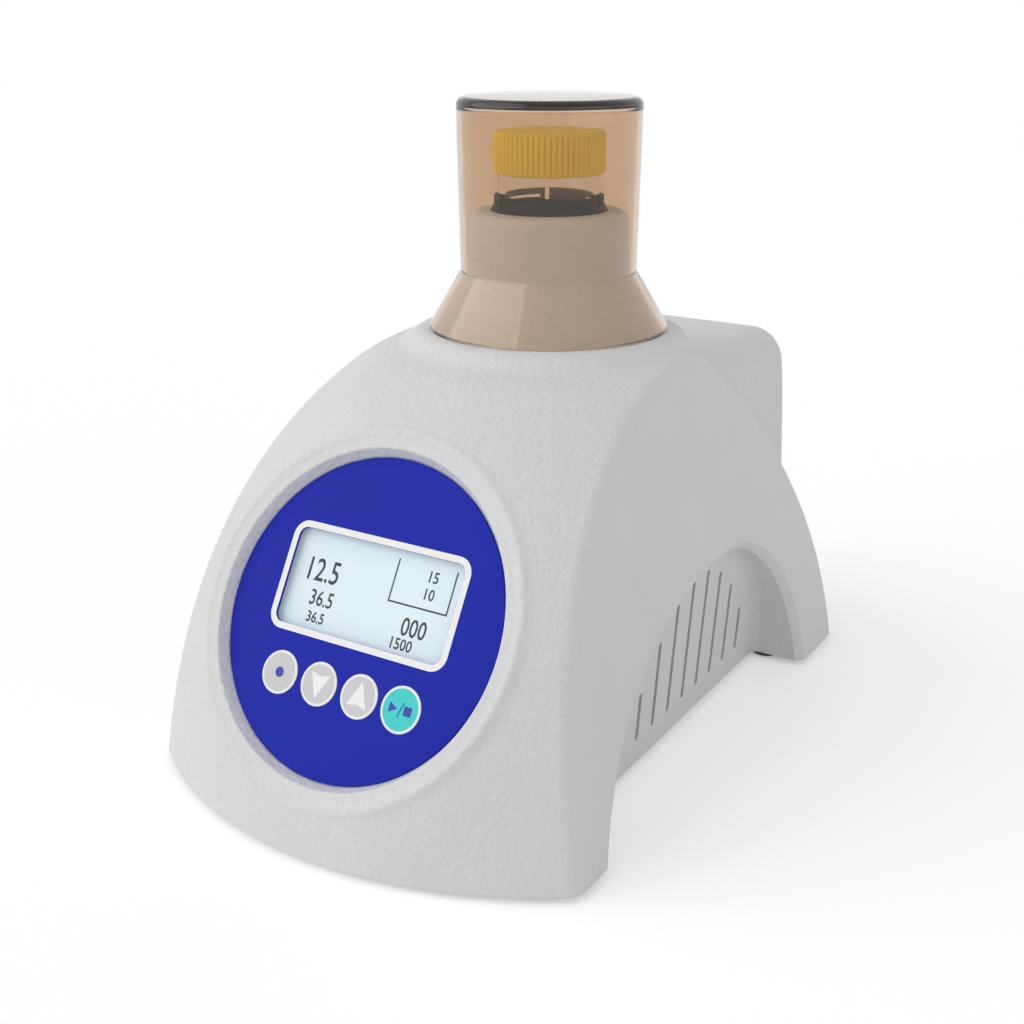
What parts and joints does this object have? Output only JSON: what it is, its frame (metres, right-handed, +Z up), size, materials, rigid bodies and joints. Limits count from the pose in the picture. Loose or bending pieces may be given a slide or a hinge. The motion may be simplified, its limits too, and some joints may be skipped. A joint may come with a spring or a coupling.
{
  "type": "bench bioreactor",
  "caption": "Small domed bench instrument with a round control panel that spins an upright culture tube under a smoked lift-off cover.",
  "frame": {"origin": "on the table, at the middle of the footprint", "axes": "+Z up along the tube, -Y out of the control panel's side, +X to the right of someone facing the panel"},
  "size_m": [0.156, 0.2347, 0.2012],
  "materials": {
    "housing_white": "fine grained moulding",
    "foot_rubber": "matt",
    "screw_steel": "satin",
    "cover_smoke": "smoked, polished",
    "cap_yellow": "ribbed",
    "membrane_white": "matt",
    "tube_clear": "polished",
    "collet_black": "satin",
    "carrier_alloy": "machined",
    "bearing_steel": "ground",
    "cage_brass": "satin",
    "motor_steel": "satin",
    "coil_copper": "enamelled wire",
    "inner_plastic": "matt",
    "foam_grey": "closed-cell foam",
    "ceramic_white": "matt",
    "black_plastic": "satin",
    "board_green": "lacquered",
    "overlay_blue": "satin film",
    "display_glass": "polished",
    "display_frame": "satin",
    "key_grey": "satin",
    "key_turquoise": "satin",
    "ribbon_grey": "flat cable"
  },
  "bodies": {
    "housing": {"upper_housing": "housing_white", "base_tray": "housing_white", "rubber_feet": "foot_rubber", "case_screws": "screw_steel", "bearing_outer_ring": "bearing_steel", "motor_case": "motor_steel", "motor_coils": "coil_copper", "motor_bushes": "cage_brass", "motor_plate": "carrier_alloy", "plate_posts": "screw_steel", "plate_screws": "screw_steel", "block_stand": "inner_plastic", "thermal_block": "carrier_alloy", "foam_jacket": "foam_grey", "cooling_module": "ceramic_white", "heat_sink": "carrier_alloy", "fan_frame": "black_plastic", "fan_screws": "screw_steel", "optical_sensor": "board_green", "temperature_probe": "bearing_steel", "panel_overlay": "overlay_blue", "display_glass": "display_glass", "display_module": "display_frame", "control_board": "board_green", "board_spacers": "screw_steel", "tact_switches": "black_plastic", "main_board": "board_green", "board_parts": "black_plastic", "board_screws": "screw_steel", "ribbon_cable": "ribbon_grey", "socket_board": "board_green", "usb_socket": "screw_steel", "power_inlet": "black_plastic", "power_switch": "black_plastic"},
    "cover_body": {"cover": "cover_smoke"},
    "rotor": {"tube_carrier": "carrier_alloy", "drive_hub": "carrier_alloy", "hub_screws": "screw_steel", "collet": "collet_black", "culture_tube": "tube_clear", "bearing_inner_ring": "bearing_steel", "motor_rotor": "bearing_steel"},
    "ball_set": {"bearing_balls": "bearing_steel", "bearing_cage": "cage_brass"},
    "cap_disc": {"vent_membrane": "membrane_white"},
    "cap_body": {"tube_cap": "cap_yellow"},
    "select_key_body": {"select_key": "key_grey"},
    "down_key_body": {"down_key": "key_grey"},
    "up_key_body": {"up_key": "key_grey"},
    "start_key_body": {"start_key": "key_turquoise"},
    "rocker_body": {"power_rocker": "black_plastic"},
    "fan_body": {"fan_rotor": "black_plastic"}
  },
  "joints": [
    {"name": "cover_lift", "type": "slide", "parent": "housing", "child": "cover_body", "axis": [0, 0, 1], "range_m": [0, 0.065]},
    {"name": "rotor_spin", "type": "hinge", "parent": "housing", "child": "rotor", "pos_m": [0, 0.0119, 0.1], "axis": [0, 0, 1], "continuous": true},
    {"name": "ball_orbit", "type": "hinge", "parent": "housing", "child": "ball_set", "pos_m": [0, 0.0119, 0.1], "axis": [0, 0, 1], "continuous": true},
    {"name": "cap_lift", "type": "slide", "parent": "rotor", "child": "cap_disc", "axis": [0, 0, 1], "range_m": [0, 0.0056]},
    {"name": "cap_turn", "type": "hinge", "parent": "cap_disc", "child": "cap_body", "pos_m": [0, 0.0119, 0.18], "axis": [0, 0, 1], "range_deg": [0, 540]},
    {"name": "select_key_press", "type": "slide", "parent": "housing", "child": "select_key_body", "axis": [0, 0.8729, -0.4879], "range_m": [0, 0.0005], "stiffness_N_per_m": 400, "springref_m": -0.0002},
    {"name": "down_key_press", "type": "slide", "parent": "housing", "child": "down_key_body", "axis": [0, 0.8729, -0.4879], "range_m": [0, 0.0005], "stiffness_N_per_m": 400, "springref_m": -0.0002},
    {"name": "up_key_press", "type": "slide", "parent": "housing", "child": "up_key_body", "axis": [0, 0.8729, -0.4879], "range_m": [0, 0.0005], "stiffness_N_per_m": 400, "springref_m": -0.0002},
    {"name": "start_key_press", "type": "slide", "parent": "housing", "child": "start_key_body", "axis": [0, 0.8729, -0.4879], "range_m": [0, 0.0005], "stiffness_N_per_m": 400, "springref_m": -0.0002},
    {"name": "rocker_tilt", "type": "hinge", "parent": "housing", "child": "rocker_body", "pos_m": [-0.019, 0.1054, 0.076], "axis": [1, 0, 0], "range_deg": [0, 18]},
    {"name": "fan_spin", "type": "hinge", "parent": "housing", "child": "fan_body", "pos_m": [0, 0.0668, 0.093], "axis": [0, 1, 0], "continuous": true}
  ],
  "couplings": [
    {"joint": "ball_orbit", "follows": "rotor_spin", "ratio": 0.46},
    {"joint": "cap_lift", "follows": "cap_turn", "m_per_rad": 0.00057296}
  ]
}
